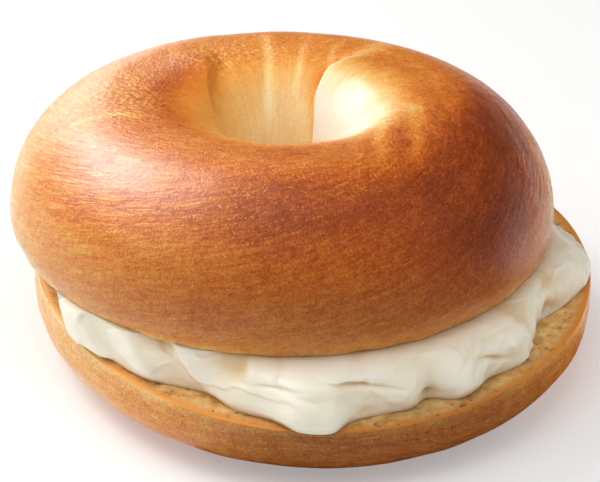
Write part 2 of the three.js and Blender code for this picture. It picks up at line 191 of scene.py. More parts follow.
# The knife's marks in the cheese's side, as swells (positive heights) and valleys: the ring
# angle and the share of the thickness (up) at the middle of each, its size, and how it leans
# with height or climbs along its width. `steep` is its width on the side of larger angles,
# where that differs.
Stroke = namedtuple("Stroke", "at up wide tall height lean climb steep", defaults=(0, 0, None))
STROKES = [
    Stroke(-140, 0.55, 9, 0.9, 1.8, lean=-9, steep=1.8),
    Stroke(-126.5, 0.55, 6, 0.9, 1.2, lean=-9, steep=1.8),
    Stroke(-114.5, 0.55, 1.8, 0.9, 1.2, lean=-9, steep=6),
    Stroke(-123, 0.96, 5, 0.18, -1.5),
    Stroke(-104.5, 0.95, 5.5, 0.24, -2.4, steep=1.8),
    Stroke(-93, 0.35, 8, 0.35, 1.2),
    Stroke(-90, 0.95, 11, 0.16, 1.5),
    Stroke(-96.5, 1.00, 3, 0.08, -1.6, steep=1.6),
    Stroke(-97, 0.74, 4, 0.04, -0.5, climb=0.05),
    Stroke(-84, 0.82, 9, 0.045, -1.2, climb=-0.22),
    Stroke(-82, 0.94, 9, 0.1, 0.6, climb=-0.16),
    Stroke(-80.5, 1.00, 2.5, 0.08, -1.5),
    Stroke(-78.5, 0.10, 1.6, 0.12, -0.6),
    Stroke(-71, 0.45, 4, 0.25, 0.5),
    Stroke(-65.5, 0.07, 1.8, 0.16, -2.4),
    Stroke(-59, 0.45, 4.5, 0.30, 0.9),
    Stroke(-50, 0.50, 4.5, 0.06, -1.0, climb=-0.16),
    Stroke(-45, 0.68, 4, 0.20, 0.8),
    Stroke(-38, 0.95, 4, 0.22, -1.5),
    Stroke(-29, 0.60, 3, 0.30, 0.7),
    Stroke(-22.8, 0.26, 2.8, 0.15, -1.7),
    Stroke(-20, 0.88, 3.5, 0.20, -1.3),
    Stroke(-8, 0.65, 7, 0.35, 0.4),
    Stroke(10, 0.50, 2, 0.50, -1.2, lean=8),
    Stroke(24, 0.50, 6, 0.30, 0.8),
    Stroke(38, 0.45, 8, 0.10, -1.1, climb=0.20),
    Stroke(58, 0.60, 2, 0.50, -1.3, lean=-6),
    Stroke(76, 0.40, 7, 0.30, 0.9),
    Stroke(92, 0.75, 7, 0.08, -1.0, climb=-0.15),
    Stroke(108, 0.50, 2, 0.50, -1.2, lean=5),
    Stroke(124, 0.45, 6, 0.35, 0.9),
    Stroke(140, 0.55, 8, 0.08, -1.1, climb=0.20),
    Stroke(158, 0.50, 2, 0.50, -1.2, lean=-6),
    Stroke(172, 0.50, 5, 0.35, 0.8),
    Stroke(-160, 0.55, 1.8, 0.45, -1.0, lean=5),
]

# How finely the visible meshes are made: columns round the ring, rows along each stretch of
# the section.
BREAD_COLUMNS = 380
TOP_CRUST_ROWS = 244
TOP_CUT_ROWS = 16
BOTTOM_ROWS = dict(wall=56, cut=64, hole=24, foot=14)
CHEESE_COLUMNS = 800
CHEESE_ROWS = dict(lip=6, outer=90, top=10, inner=8, bottom=6)


# ---- Small helpers

def lerp(a, b, t):
    return a + (b - a) * t


def smoothstep(x, low, high):
    t = np.clip((x - low) / (high - low), 0, 1)
    return t * t * (3 - 2 * t)


def bell(distance, width):
    return np.exp(-((distance / width) ** 2))


def turn_between(angle, start):
    """The difference between two ring angles, from -180 to 180."""
    return (angle - start + 180) % 360 - 180


def near(angle, at, spread):
    """1 at a ring angle, less to both sides of it."""
    return bell(turn_between(angle, at), spread)


def patch(angle, section, at, spread):
    """1 at a ring angle and section angle, less all round it."""
    return near(angle, at[0], spread[0]) * bell(section - at[1], spread[1])


def patches(table, angle, section):
    return sum(change * patch(angle, section, at, spread) for at, spread, change in table)


def ring_changes(table, angle):
    return sum(change * near(angle, at, spread) for at, spread, change in table)


def cos_deg(angle):
    return np.cos(np.radians(angle))


def sin_deg(angle):
    return np.sin(np.radians(angle))


def swelling(uneven, angle):
    return 1 + sum(amount * cos_deg(waves * (angle - at)) for waves, amount, at in uneven)


def superellipse(angle, half_width, half_height, power):
    c, s = cos_deg(angle), sin_deg(angle)
    return (half_width * np.sign(c) * np.abs(c) ** (2 / power),
            half_height * np.sign(s) * np.abs(s) ** (2 / power))


def points(*parts):
    return np.stack(np.broadcast_arrays(*parts), axis=-1)


def ring_angles(columns):
    return np.linspace(-180, 180, columns, endpoint=False)[:, None]


class Noise:
    """Smooth 3-D gradient noise, from about -1 to 1, the same on every run."""

    CELLS = 256
    GAIN = 1.6

    def __init__(self, seed):
        rng = np.random.default_rng(seed)
        self.table = rng.permutation(self.CELLS)
        slopes = rng.normal(size=(self.CELLS, 3))
        self.slopes = slopes / np.linalg.norm(slopes, axis=1, keepdims=True)

    def __call__(self, where):
        cell = np.floor(where).astype(int)
        inside = where - cell
        ease = inside ** 3 * (inside * (inside * 6 - 15) + 10)
        total = np.zeros(where.shape[:-1])
        for corner in itertools.product((0, 1), repeat=3):
            at = (cell + corner) % self.CELLS
            pick = self.table[at[..., 0]]
            pick = self.table[(pick + at[..., 1]) % self.CELLS]
            pick = self.table[(pick + at[..., 2]) % self.CELLS]
            weight = np.prod(np.where(corner, ease, 1 - ease), axis=-1)
            total += weight * (self.slopes[pick] * (inside - corner)).sum(-1)
        return self.GAIN * total

    def layered(self, where):
        """Two octaves."""
        return self(where) + self(where * 2 + 17) / 2


def bumps(where, seed, size, height):
    """Uneven relief: about how wide its features are and how high."""
    return height * Noise(seed).layered(where / size)


def surface_normals(grid):
    """Unit normals of a grid of points that closes on itself in both directions."""
    around = np.roll(grid, -1, 0) - np.roll(grid, 1, 0)
    along = np.roll(grid, -1, 1) - np.roll(grid, 1, 1)
    normals = np.cross(around, along)
    return normals / np.linalg.norm(normals, axis=-1, keepdims=True)


def arc_fractions(grid):
    """How far along its closed section each row lies, from 0 to 1, and the section's length."""
    steps = np.linalg.norm(np.roll(grid, -1, 1) - grid, axis=-1).mean(0)
    lengths = np.concatenate([[0], np.cumsum(steps)])
    return lengths / lengths[-1], lengths[-1]


def new_object(name, data):
    thing = bpy.data.objects.new(name, data)
    bpy.context.scene.collection.objects.link(thing)
    return thing


def ring_object(name, grid, fields):
    """A closed ring mesh from a grid of points (columns, rows, 3) in millimetres."""
    columns, rows = grid.shape[:2]
    column, row = np.meshgrid(np.arange(columns), np.arange(rows), indexing="ij")
    across, above = (column + 1) % columns, (row + 1) % rows
    quads = points(column * rows + row, across * rows + row,
                   across * rows + above, column * rows + above).reshape(-1, 4)
    mesh = bpy.data.meshes.new(name)
    mesh.vertices.add(columns * rows)
    mesh.vertices.foreach_set("co", (grid * MM).astype(np.float32).ravel())
    mesh.loops.add(quads.size)
    mesh.loops.foreach_set("vertex_index", quads.astype(np.int32).ravel())
    mesh.polygons.add(len(quads))
    mesh.polygons.foreach_set("loop_start", np.arange(0, quads.size, 4, dtype=np.int32))
    mesh.update(calc_edges=True)
    mesh.polygons.foreach_set("use_smooth", np.ones(len(quads), bool))

    # The unrolled ring: u runs round it and v along its section.
    v_edges, _ = arc_fractions(grid)
    u_edges = np.arange(columns + 1) / columns
    u = points(u_edges[column], u_edges[column + 1], u_edges[column + 1], u_edges[column])
    v = points(v_edges[row], v_edges[row], v_edges[row + 1], v_edges[row + 1])
    layer = mesh.uv_layers.new(name="OFBake")
    layer.uv.foreach_set("vector", points(u, v).astype(np.float32).ravel())

    for key, values in fields.items():
        kind, slot = ("FLOAT", "value") if values.ndim == 2 else ("FLOAT_VECTOR", "vector")
        values = np.broadcast_to(values, (columns, rows) + values.shape[2:])
        attribute = mesh.attributes.new(key, kind, "POINT")
        attribute.data.foreach_set(slot, values.astype(np.float32).ravel())
    mesh.validate()
    return new_object(name, mesh)


MEAN_RADIUS = 50  # of the rings, for noise that runs round them
TWIST_DRIFT = 20  # degrees that the twist is ahead or behind at the sides


def circle_space(angle, radius, z):
    return points(radius * cos_deg(angle), radius * sin_deg(angle), z)


def ring_space(angle, grid):
    """Coordinates that follow the crust: round the ring (x, y) and along the section (z)."""
    v_edges, length = arc_fractions(grid)
    return circle_space(angle, MEAN_RADIUS, (v_edges[:-1] * length)[None, :])


def twisted_space(angle, grid, turns):
    """Coordinates that follow a rope's twist: across its lines (x, y) and along them (z, w).

    The dough rope is twisted by whole turns on its way round, less at the front.
    """
    v_edges, length = arc_fractions(grid)
    twist = turns * (angle - TWIST_DRIFT * cos_deg(angle))
    across = 360 * v_edges[None, :-1] - twist
    along = circle_space(across, length / (2 * np.pi), MEAN_RADIUS * cos_deg(angle))
    return along, MEAN_RADIUS * sin_deg(angle) + 0 * across


# ---- The bottom half

WALL, CUT, HOLE, FOOT = range(4)  # the stretches of its section
WALL_SHARE = 0.78  # of the outer wall's rows, below its widest point
RIM_CROWDING = 1.35  # above 1, the cut's rows lie closer together near its rim


def bottom_cut_height(x, y):
    half = BOTTOM_HALF
    return (half["cut_height"] + half["cut_slope"][0] * (x - half["centre"][0])
            + half["cut_slope"][1] * (y - half["centre"][1]))


def bottom_place(angle, radius):
    half = BOTTOM_HALF
    swollen = radius * swelling(half["uneven"], angle)
    return (half["centre"][0] + swollen * cos_deg(angle),
            half["centre"][1] + swollen * sin_deg(angle))


def bottom_grid(angle):
    """The bottom half's surface, and the stretch of the section that each row belongs to."""
    half = BOTTOM_HALF
    foot_radius = half["outer_radius"] - half["foot_corner"]
    corner = half["foot_hole_radius"] - half["hole_radius"]

    t = np.linspace(0, 1, BOTTOM_ROWS["wall"])
    low = np.clip(t / WALL_SHARE, 0, 1)
    high = np.clip((t - WALL_SHARE) / (1 - WALL_SHARE), 0, 1)
    r, z = superellipse(90 * (1 - low), half["foot_corner"], half["widest_height"],
                        half["foot_power"])
    x, y = bottom_place(angle, half["outer_radius"])
    above = bottom_cut_height(x, y) - half["widest_height"]
    radius = foot_radius + r - (above * high) ** 2 / (2 * half["lean_radius"])
    height = half["widest_height"] - z + above * high
    x, y = bottom_place(angle, radius)
    wall = points(x, y, height)
    rim_radius = half["outer_radius"] - above ** 2 / (2 * half["lean_radius"])

    t = np.linspace(0, 1, BOTTOM_ROWS["cut"] + 1)[1:] ** RIM_CROWDING
    x, y = bottom_place(angle, lerp(rim_radius, half["hole_radius"], t))
    cut = points(x, y, bottom_cut_height(x, y))

    t = np.linspace(0, 1, BOTTOM_ROWS["hole"] + 1)[1:]
    r, z = superellipse(90 * t, corner, half["widest_height"], half["hole_power"])
    x, y = bottom_place(angle, half["foot_hole_radius"] - r)
    hole = points(x, y, half["widest_height"] - z)

    t = np.linspace(0, 1, BOTTOM_ROWS["foot"] + 2)[1:-1]
    x, y = bottom_place(angle, lerp(half["foot_hole_radius"], foot_radius, t))
    foot = points(x, y, 0)

    stretches = [wall, cut, hole, foot]
    part = np.repeat([WALL, CUT, HOLE, FOOT], [rows.shape[1] for rows in stretches])
    return np.concatenate(stretches, axis=1), part


def make_bottom_half():
    angle = ring_angles(BREAD_COLUMNS)
    grid, part = bottom_grid(angle)
    up = grid[..., 2]
    follow = ring_space(angle, grid)
    on_cut = (part == CUT)[None, :] * 1.0
    crust = 1 - on_cut
    rim = np.argmax(part == CUT) - 1
    from_rim = np.linalg.norm(grid - grid[:, rim:rim + 1], axis=-1)
    crumb = on_cut * smoothstep(from_rim, 0.1, 1.5)

    crust_relief = (bumps(grid, seed=11, size=14, height=0.22)
                    + bumps(follow, seed=12, size=(9, 9, 1.7), height=0.05))
    pores = -1.1 * np.clip(Noise(13)(grid / 1.3) - 0.42, 0, 1)
    crumb_relief = pores + bumps(grid, seed=14, size=3.2, height=0.14)
    height = crust * smoothstep(up, 0.3, 4) * crust_relief + crumb * crumb_relief
    shaped = grid + surface_normals(grid) * height[..., None]

    bake_and_painted_light = (BOTTOM_BROWNING + ring_changes(BOTTOM_BROWNED_AND_PAINTED_SHEEN, angle)
            + 0.10 * (1 - smoothstep(up, 0, 8)) - 0.12 * bell(from_rim, 1.4) * crust)
    hole_bake = 0.25 + 0.40 * (1 - smoothstep(up, 0, 10))
    # Painted light and shade: the crust darker at the front and lighter on the right, the crumb
    # darker at the front right.
    painted_shading = BOTTOM_PAINTED_SHADING + ring_changes(BOTTOM_PAINTED_SHADING_CHANGES, angle)
    crumb_painted_shading = 1 + ring_changes(CRUMB_PAINTED_SHADING_CHANGES, angle)
    along, along_w = twisted_space(angle, grid, turns=0)
    none = 0 * from_rim
    fields = dict(
        bake_and_painted_light=np.where(part == HOLE, hole_bake, bake_and_painted_light), crumb=crumb,
        painted_shading=np.where(on_cut > 0, crumb_painted_shading, painted_shading),
        wrinkle=crust * 0.45, blister=crust * 0.4, pebble=none, streak=none,
        grit=crust + none, shine=crust + none,
        rim_glow=on_cut * bell(from_rim, 1.0), toast=on_cut * bell(from_rim, 2.1),
        down=follow, along=along, along_w=along_w)
    return ring_object("bottom_half_bread", shaped, fields)


# ---- The top half

OUTER_CUT = (-80, 40)  # section angles below and above the cut outside
INNER_CUT = (260, 140)  # and in the hole
CUT_SECTION = 270.0  # the section angle given to the cut itself
HALVINGS = 30


def lap_distance(angle, section):
    """How many degrees a point lies past the lap's edge, on the bulge's side."""
    edge = (LAP["at"] - LAP["upper_turn"] * (1 - smoothstep(section, *LAP["upper"]))
            - LAP["lower_turn"] * smoothstep(section, *LAP["lower"]))
    return turn_between(edge, angle)


def shoulder_distance(angle, section):
    """How many degrees a point lies past the shoulder's edge, on the lobe's side."""
    turn = SHOULDER["turn"] * smoothstep(section, *SHOULDER["turning"])
    return turn_between(angle, SHOULDER["at"] + turn)


def ring_radius(section):
    """About how far the crust lies from the ring's axis, in millimetres."""
    half = TOP_HALF
    across = np.where(cos_deg(section) >= 0, half["outer_reach"],
                      half["rope_radius"] - half["hole_radius"])
    return half["rope_radius"] + across * cos_deg(section)


def furrow_depth(angle, section):
    """How deep the furrows are at a point, in millimetres; each fades out at both ends."""
    fade_in, fade_out = FURROW_FADE
    total = 0
    for furrow in FURROWS:
        middle = furrow["at"] + furrow["drift"] * smoothstep(section, *FURROW_DRIFT)
        off = np.radians(turn_between(angle, middle)) * ring_radius(section)
        first, last = furrow["ends"]
        ends = (smoothstep(section, first, first + fade_in)
                * (1 - smoothstep(section, last - fade_out, last)))
        total = total + furrow["depth"] * bell(off, furrow["width"]) * ends
    return total


def hole_relief(angle, section):
    """How far the lap and the shoulder lift the crust, less the furrows, in millimetres."""
    in_hole = smoothstep(section, *INTO_HOLE)
    past_lap = lap_distance(angle, section)
    lap_edge = lerp(LAP["soft"], LAP["sharp"], in_hole)
    lap_rise = smoothstep(past_lap, -lap_edge, lap_edge)
    lap = (LAP["height"] * lap_rise * bell(np.maximum(past_lap, 0), LAP["spread"])
           - LAP["pressed"] * (1 - lap_rise) * bell(np.minimum(past_lap, 0),
                                                    LAP["pressed_width"]))
    past_shoulder = shoulder_distance(angle, section)
    shoulder = (SHOULDER["height"]
                * smoothstep(past_shoulder, -SHOULDER["soft"], SHOULDER["soft"])
                * bell(np.maximum(past_shoulder, 0), SHOULDER["spread"]))
    return (lap + shoulder) * in_hole - furrow_depth(angle, section)


def crust_point(angle, section):
    """The crust of the top half in its own frame, as x, y and z."""
    half = TOP_HALF
    outside = cos_deg(section) >= 0
    above = sin_deg(section) >= 0
    half_width = np.where(outside, half["outer_reach"],
                          half["rope_radius"] - half["hole_radius"])
    half_height = np.where(above, half["crown_height"], half["below_widest"])
    power = np.where(outside, half["outer_power"], half["hole_power"])
    across, up = superellipse(section, half_width, half_height, power)
    relief = hole_relief(angle, section)
    direction = np.arctan2(up / half_height, across / half_width)
    radius = ((half["rope_radius"] + across) * swelling(half["uneven"], angle)
              + relief * np.cos(direction))
    return (radius * cos_deg(angle), radius * sin_deg(angle),
            half["widest_height"] + up + relief * np.sin(direction))


def top_cut_height(x, y):
    return TOP_HALF["cut_slope"][0] * x + TOP_HALF["cut_slope"][1] * y


def cut_angle(angle, below, above):
    """The section angle between `below` and `above` at which the crust crosses the cut."""
    below, above = np.full(angle.shape, float(below)), np.full(angle.shape, float(above))
    for _ in range(HALVINGS):
        middle = (below + above) / 2
        x, y, z = crust_point(angle, middle)
        under = z < top_cut_height(x, y)
        below, above = np.where(under, middle, below), np.where(under, above, middle)
    return above


SEAT = np.array([BOTTOM_HALF["centre"][0] + TOP_HALF["offset"][0],
                 BOTTOM_HALF["centre"][1] + TOP_HALF["offset"][1], TOP_HALF["height"]])
TILT_X, TILT_Y = np.radians(TOP_HALF["tilt"])
SEAT_TURN = np.array(Matrix.Rotation(TILT_Y, 3, "Y") @ Matrix.Rotation(TILT_X, 3, "X"))


def even_sections(angle, outer_cut, inner_cut, rows):
    """Section angles whose points are evenly spaced along the crust, for each column."""
    samples = 6 * rows
    t = np.linspace(0, 1, samples)[None, :]
    places = points(*crust_point(angle, lerp(outer_cut, inner_cut, t)))
    steps = np.linalg.norm(np.diff(places, axis=1), axis=-1).mean(0)
    along = np.concatenate([[0], np.cumsum(steps)])
    even = np.interp(np.linspace(0, along[-1], rows), along, t[0])
    return lerp(outer_cut, inner_cut, even[None, :])


def top_grid(angle):
    """The top half's surface in its own frame, and the section angle of each point."""
    section = even_sections(angle, cut_angle(angle, *OUTER_CUT), cut_angle(angle, *INNER_CUT),
                            TOP_CRUST_ROWS)
    crust = points(*crust_point(angle, section))
    t = np.linspace(0, 1, TOP_CUT_ROWS + 2)[None, 1:-1]
    x = lerp(crust[:, -1:, 0], crust[:, :1, 0], t)
    y = lerp(crust[:, -1:, 1], crust[:, :1, 1], t)
    cut = points(x, y, top_cut_height(x, y))
    return (np.concatenate([crust, cut], axis=1),
            np.concatenate([section, np.full(x.shape, CUT_SECTION)], axis=1))


def mark_distance(mark, angle, section):
    """How many millimetres a point lies from a stretch mark, and how far along it (0 to 1)."""
    middle = mark["path"][len(mark["path"]) // 2][1]

    def unrolled(at, on):
        return points(np.radians(turn_between(at, middle)) * ring_radius(on),
                      np.radians(on) * TOP_HALF["crown_height"])

    place = unrolled(angle, section)
    nodes = [unrolled(np.float64(at), np.float64(on)) for on, at in mark["path"]]
    lengths = [np.linalg.norm(end - start) for start, end in zip(nodes, nodes[1:])]
    nearest = np.full(section.shape, np.inf)
    reached = np.zeros(section.shape)
    for index, (start, end) in enumerate(zip(nodes, nodes[1:])):
        span = end - start
        share = np.clip((place - start) @ span / (span @ span), 0, 1)
        away = np.linalg.norm(place - start - share[..., None] * span, axis=-1)
        along = (sum(lengths[:index]) + share * lengths[index]) / sum(lengths)
        reached = np.where(away < nearest, along, reached)
        nearest = np.minimum(nearest, away)
    return nearest, reached


def browning_and_painted_light(angle, section):
    """How far the crust has browned, from 0 (raw) to 1 (darkest), with patches of painted sheen,
    highlight and shade, and how white it stayed.
    """
    bake_and_painted_light = EVEN_BROWNING + patches(BROWNED_AND_PAINTED_LIGHT, angle, section)
    for mark in STRETCH_MARKS_AND_RIDGE_HIGHLIGHT:
        away, share = mark_distance(mark, angle, section)
        bake_and_painted_light = bake_and_painted_light + mark["change"] * bell(away, mark["width"]) * (1 - smoothstep(share, 0.5, 1))

    # Down the hole the crust turns tan and then pale, later under the lobes on the left.
    deep = lerp(smoothstep(section, 96, 150), smoothstep(section, 104, 172),
                near(angle, -165, 95))
    bake_and_painted_light = lerp(bake_and_painted_light, 0.15 + 0.20 * near(angle, 172, 40), deep)
    bake_and_painted_light = bake_and_painted_light - FURROW_PALENESS * furrow_depth(angle, section)

    # The bulge beside the lap has stayed white; its edge frays into the crust.
    past_lap = lap_distance(angle, section)
    start = (WHITE_START + ring_changes(WHITE_DRIFT, angle)
             + 5 * Noise(26)(circle_space(angle, 5, section / 60))
             + 7 * Noise(27)(circle_space(angle, 26, section / 24)))
    softness = lerp(10, 2.6, smoothstep(section, 100, 128))
    bulge = (smoothstep(past_lap, -softness, softness)
             * smoothstep(turn_between(angle, -72), 0, 34))
    white = bulge * smoothstep(section, start, start + 14)
    bake_and_painted_light = bake_and_painted_light - 0.08 * bulge * smoothstep(section, start - 18, start)
    rawness = (lerp(0.14, 0.00, smoothstep(section, start + 3, start + 28))
               + 0.04 * bell(past_lap, 6))
    bake_and_painted_light = lerp(bake_and_painted_light, rawness, white)

    # The lap's lip is pale, and painted shade darkens the crust it presses on.
    bake_and_painted_light = bake_and_painted_light - 0.17 * bell(past_lap - 1.5, 4) * smoothstep(section, 62, 90) * (1 - white)
    bake_and_painted_light = bake_and_painted_light + 0.14 * bell(past_lap + 5, 5) * smoothstep(section, 100, 125)
    return bake_and_painted_light, white


def make_top_half():
    angle = ring_angles(BREAD_COLUMNS)
    grid, section = top_grid(angle)
    on_cut = (section == CUT_SECTION) * 1.0
    crust = 1 - on_cut
    above_cut = grid[..., 2] - top_cut_height(grid[..., 0], grid[..., 1])
    outside = 1 - smoothstep(section, 100, 125)

    left = patch(angle, section, *WRINKLED_LEFT)
    right = patch(angle, section, *WRINKLED_RIGHT)
    along, along_w = twisted_space(angle, grid, turns=1)
    lines = points(along[..., 0], along[..., 1], 0.12 * (along[..., 2] + along_w))

    def line_noise(seed, width):
        return Noise(seed)(lines / (width, width, 1))

    wrinkles = 0.05 * line_noise(23, width=2.0) - 0.06 * np.abs(line_noise(24, width=1.5))
    rim_wrinkles = (-0.11 * outside * bell(line_noise(28, width=0.8), 0.22)
                    * patch(angle, section, *WRINKLED_RIM))
    relief = (bumps(grid, seed=21, size=16, height=0.20) + rim_wrinkles
              + wrinkles * outside * (0.30 + 0.15 * left + 0.90 * right))
    edge = outside * bell(above_cut, 1.2) * bumps(grid, seed=29, size=5, height=0.35)
    crumb = np.clip(-0.2 - bumps(grid, seed=25, size=2.4, height=0.18), -0.5, 0)
    height = np.where(on_cut > 0, crumb, smoothstep(above_cut, 0, 2) * relief + edge)
    shaped = grid + surface_normals(grid) * height[..., None]

    bake_and_painted_light, white = browning_and_painted_light(angle, section)
    pale_edge = 0.14 * bell(above_cut, 1.0) + 0.07 * bell(above_cut, 3.5)
    # Painted shade darkens the grooves of the rim's wrinkles.
    bake_and_painted_light = bake_and_painted_light - pale_edge * (section < 90) - 0.9 * rim_wrinkles
    # Painted light and shade: darker low on the front with lighter just above the cut there,
    # darker on the front left of the crown, and dimmer on the white bulge where its highlight
    # falls.
    low = 1 - smoothstep(section, 4, 44)
    painted_shading = (1 - near(angle, -75, 58) * (0.33 * low - 0.25 * bell(above_cut, 2.5))
            - 0.08 * patch(angle, section, (-104, 42), (24, 26))
            - 0.15 * white * patch(angle, section, (18, 119), (30, 14)))
    front = near(angle, -65, 55) * (1 - smoothstep(section, 50, 85))
    blisters = np.minimum(patches(BLISTERED, angle, section), 1)
    fields = dict(
        bake_and_painted_light=bake_and_painted_light, crumb=on_cut, painted_shading=painted_shading,
        wrinkle=crust * outside * (0.30 + 0.80 * left + 0.90 * right),
        blister=crust * (0.35 * outside + 0.85 * blisters),
        pebble=crust * patches(PEBBLED, angle, section),
        streak=crust * smoothstep(section, 88, 108) * (1 - 0.75 * white),
        grit=crust * lerp(0.30, 1, outside) * (1 - 0.6 * white) * (1 - 0.25 * front),
        shine=crust * (1 - 0.8 * white), rim_glow=0 * bake_and_painted_light, toast=0 * bake_and_painted_light,
        down=ring_space(angle, grid), along=along, along_w=along_w)
    return ring_object("top_half_bread", shaped @ SEAT_TURN.T + SEAT, fields)


# ---- The cheese

REACH_STEPS = 8  # of the search for the top half's cut edge
EDGE_SAMPLES = 24  # between two pairs of the cheese's edge


def ceiling_height(x, y):
    slope = TOP_HALF["cut_slope"]
    normal = SEAT_TURN @ np.array([-slope[0], -slope[1], 1])
    drop = normal[0] * (x - SEAT[0]) + normal[1] * (y - SEAT[1])
    return SEAT[2] - drop / normal[2]


def cover_radius(angle):
    """How far the top half's cut edge is from the bottom half's middle."""
    centre = BOTTOM_HALF["centre"]
    reach = np.full(angle.shape, float(BOTTOM_HALF["outer_radius"]))
    for _ in range(REACH_STEPS):
        across = centre[0] + reach * cos_deg(angle) - SEAT[0]
        along = centre[1] + reach * sin_deg(angle) - SEAT[1]
        bearing = np.degrees(np.arctan2(along, across))
        u, v, _ = crust_point(bearing, cut_angle(bearing, *OUTER_CUT))
        reach = reach + np.hypot(u, v) - np.hypot(across, along)
    return reach


def edge_radius(angle):
    """A closed centripetal Catmull-Rom curve through the pairs of the edge."""
    pairs = np.array(CHEESE["edge"])
    places = pairs[:, 1:] * points(cos_deg(pairs[:, 0]), sin_deg(pairs[:, 0]))
    samples = []
    for i in range(len(places)):
        line = [places[(i + k) % len(places)] for k in (-1, 0, 1, 2)]
        knots = np.cumsum([0] + [np.linalg.norm(b - a) ** 0.5 for a, b in zip(line, line[1:])])
        t = np.linspace(knots[1], knots[2], EDGE_SAMPLES, endpoint=False)[:, None]

        # Each round blends neighbours over the knots between them; the last gives the curve.
        for span, first in ((1, 0), (2, 0), (1, 1)):
            line = [((knots[k + span] - t) * a + (t - knots[k]) * b)
                    / (knots[k + span] - knots[k])
                    for k, (a, b) in enumerate(zip(line, line[1:]), first)]
        samples.append(line[0])
    samples = np.concatenate(samples)
    bearing = np.degrees(np.arctan2(samples[:, 1], samples[:, 0]))
    order = np.argsort(bearing)
    return np.interp(angle, bearing[order], np.hypot(*samples.T)[order], period=360)


def stroke_relief(angle, up):
    total = 0
    for stroke in STROKES:
        turn = turn_between(angle, stroke.at + stroke.lean * (up - 0.5))
        along = turn / np.where(turn < 0, stroke.wide, stroke.steep or stroke.wide)
        level = stroke.up + stroke.climb * along
        total = total + stroke.height * bell(along, 1) * bell(up - level, stroke.tall)
    return total


def cheese_section(angle):
    """The radius of each point of the cheese, and its share of the thickness (0 to 1)."""
    reach = edge_radius(angle)
    meets = np.minimum(cover_radius(angle), reach) + CHEESE["proud"]
    hole, lip = CHEESE["hole_radius"], CHEESE["lip_height"]
    slump = CHEESE["slump"]
    power = lerp(CHEESE["power"], slump["power"], near(angle, slump["at"], slump["spread"]))

    def share(rows, first, last):
        return np.linspace(0, 1, rows)[None, first:last]

    stretches = []
    t = share(CHEESE_ROWS["lip"] + 1, 0, -1)
    lip_radius = reach - CHEESE["undercut"] * (1 - t) ** 2 + t ** 2 * stroke_relief(angle, lip)
    stretches.append((lip_radius, lip * t))
    r, h = superellipse(90 * share(CHEESE_ROWS["outer"], 0, None), reach - meets, 1 - lip, power)
    stretches.append((meets + r + stroke_relief(angle, lip + h), lip + h))
    stretches.append((lerp(meets, hole, share(CHEESE_ROWS["top"] + 2, 1, -1)), 1))
    t = share(CHEESE_ROWS["inner"], 0, None)
    stretches.append((hole - CHEESE["inner_bulge"] * np.sin(np.pi * t), 1 - t))
    t = share(CHEESE_ROWS["bottom"] + 2, 1, -1)
    stretches.append((lerp(hole, reach - CHEESE["undercut"], t), 0))
    full = [np.broadcast_arrays(angle, radius, up)[1:] for radius, up in stretches]
    return [np.concatenate(columns, axis=1) for columns in zip(*full)]


def make_cheese():
    angle = ring_angles(CHEESE_COLUMNS)
    radius, up = cheese_section(angle)
    x = BOTTOM_HALF["centre"][0] + radius * cos_deg(angle)
    y = BOTTOM_HALF["centre"][1] + radius * sin_deg(angle)
    floor = bottom_cut_height(x, y) + CHEESE["gap"]
    ceiling = ceiling_height(x, y) - CHEESE["gap"]
    grid = points(x, y, lerp(floor, ceiling, up))

    free = smoothstep(radius, 40, 46) * smoothstep(up, 0.02, 0.2) * (1 - smoothstep(up, 0.9, 1))
    warp = bumps(grid, seed=31, size=9, height=1)
    folded = grid / (13, 13, 7) + 0.35 * points(warp, -warp, warp)
    layers = (1.3 * Noise(32)(folded)) % 1
    folds = layers * (1 - smoothstep(layers, 0.84, 1)) - 0.40
    ripples = bumps(grid / 4.5 + warp[..., None], seed=33, size=1, height=0.13)
    ruffles = np.abs(bumps(grid / 4.2 + 0.9 * warp[..., None], seed=34, size=1, height=1))
    ruffles = near(angle, -34, 40) * (ruffles - 0.25)
    height = free * (0.4 * folds + ripples + 0.8 * ruffles)
    shaped = grid + surface_normals(grid) * height[..., None]

    # The cheese swells past the gap that the solids keep, and the crumb stops it.
    below, above = CHEESE["swell"]
    sunk_below, sunk_above = CHEESE["sunk"]
    x, y, z = np.moveaxis(shaped, -1, 0)
    shaped[..., 2] = np.clip(z + lerp(-below, above, up), bottom_cut_height(x, y) - sunk_below,
                             ceiling_height(x, y) + sunk_above)
    # Painted shade: the cheese is darker and yellower in its valleys and folds.
    valley_shade = 0.5 - stroke_relief(angle, up) / 3.0 - 0.12 * folds - 0.5 * ruffles
    return ring_object("cream_cheese_spread", shaped, dict(valley_shade=np.clip(valley_shade, 0, 1)))


# ---- Materials

def linear(red, green, blue):
    """A colour given in 0 to 255 screen values, as the linear values that shaders take."""
    def one(value):
        value = value / 255
        return value / 12.92 if value <= 0.04045 else ((value + 0.055) / 1.055) ** 2.4
    return (one(red), one(green), one(blue), 1.0)


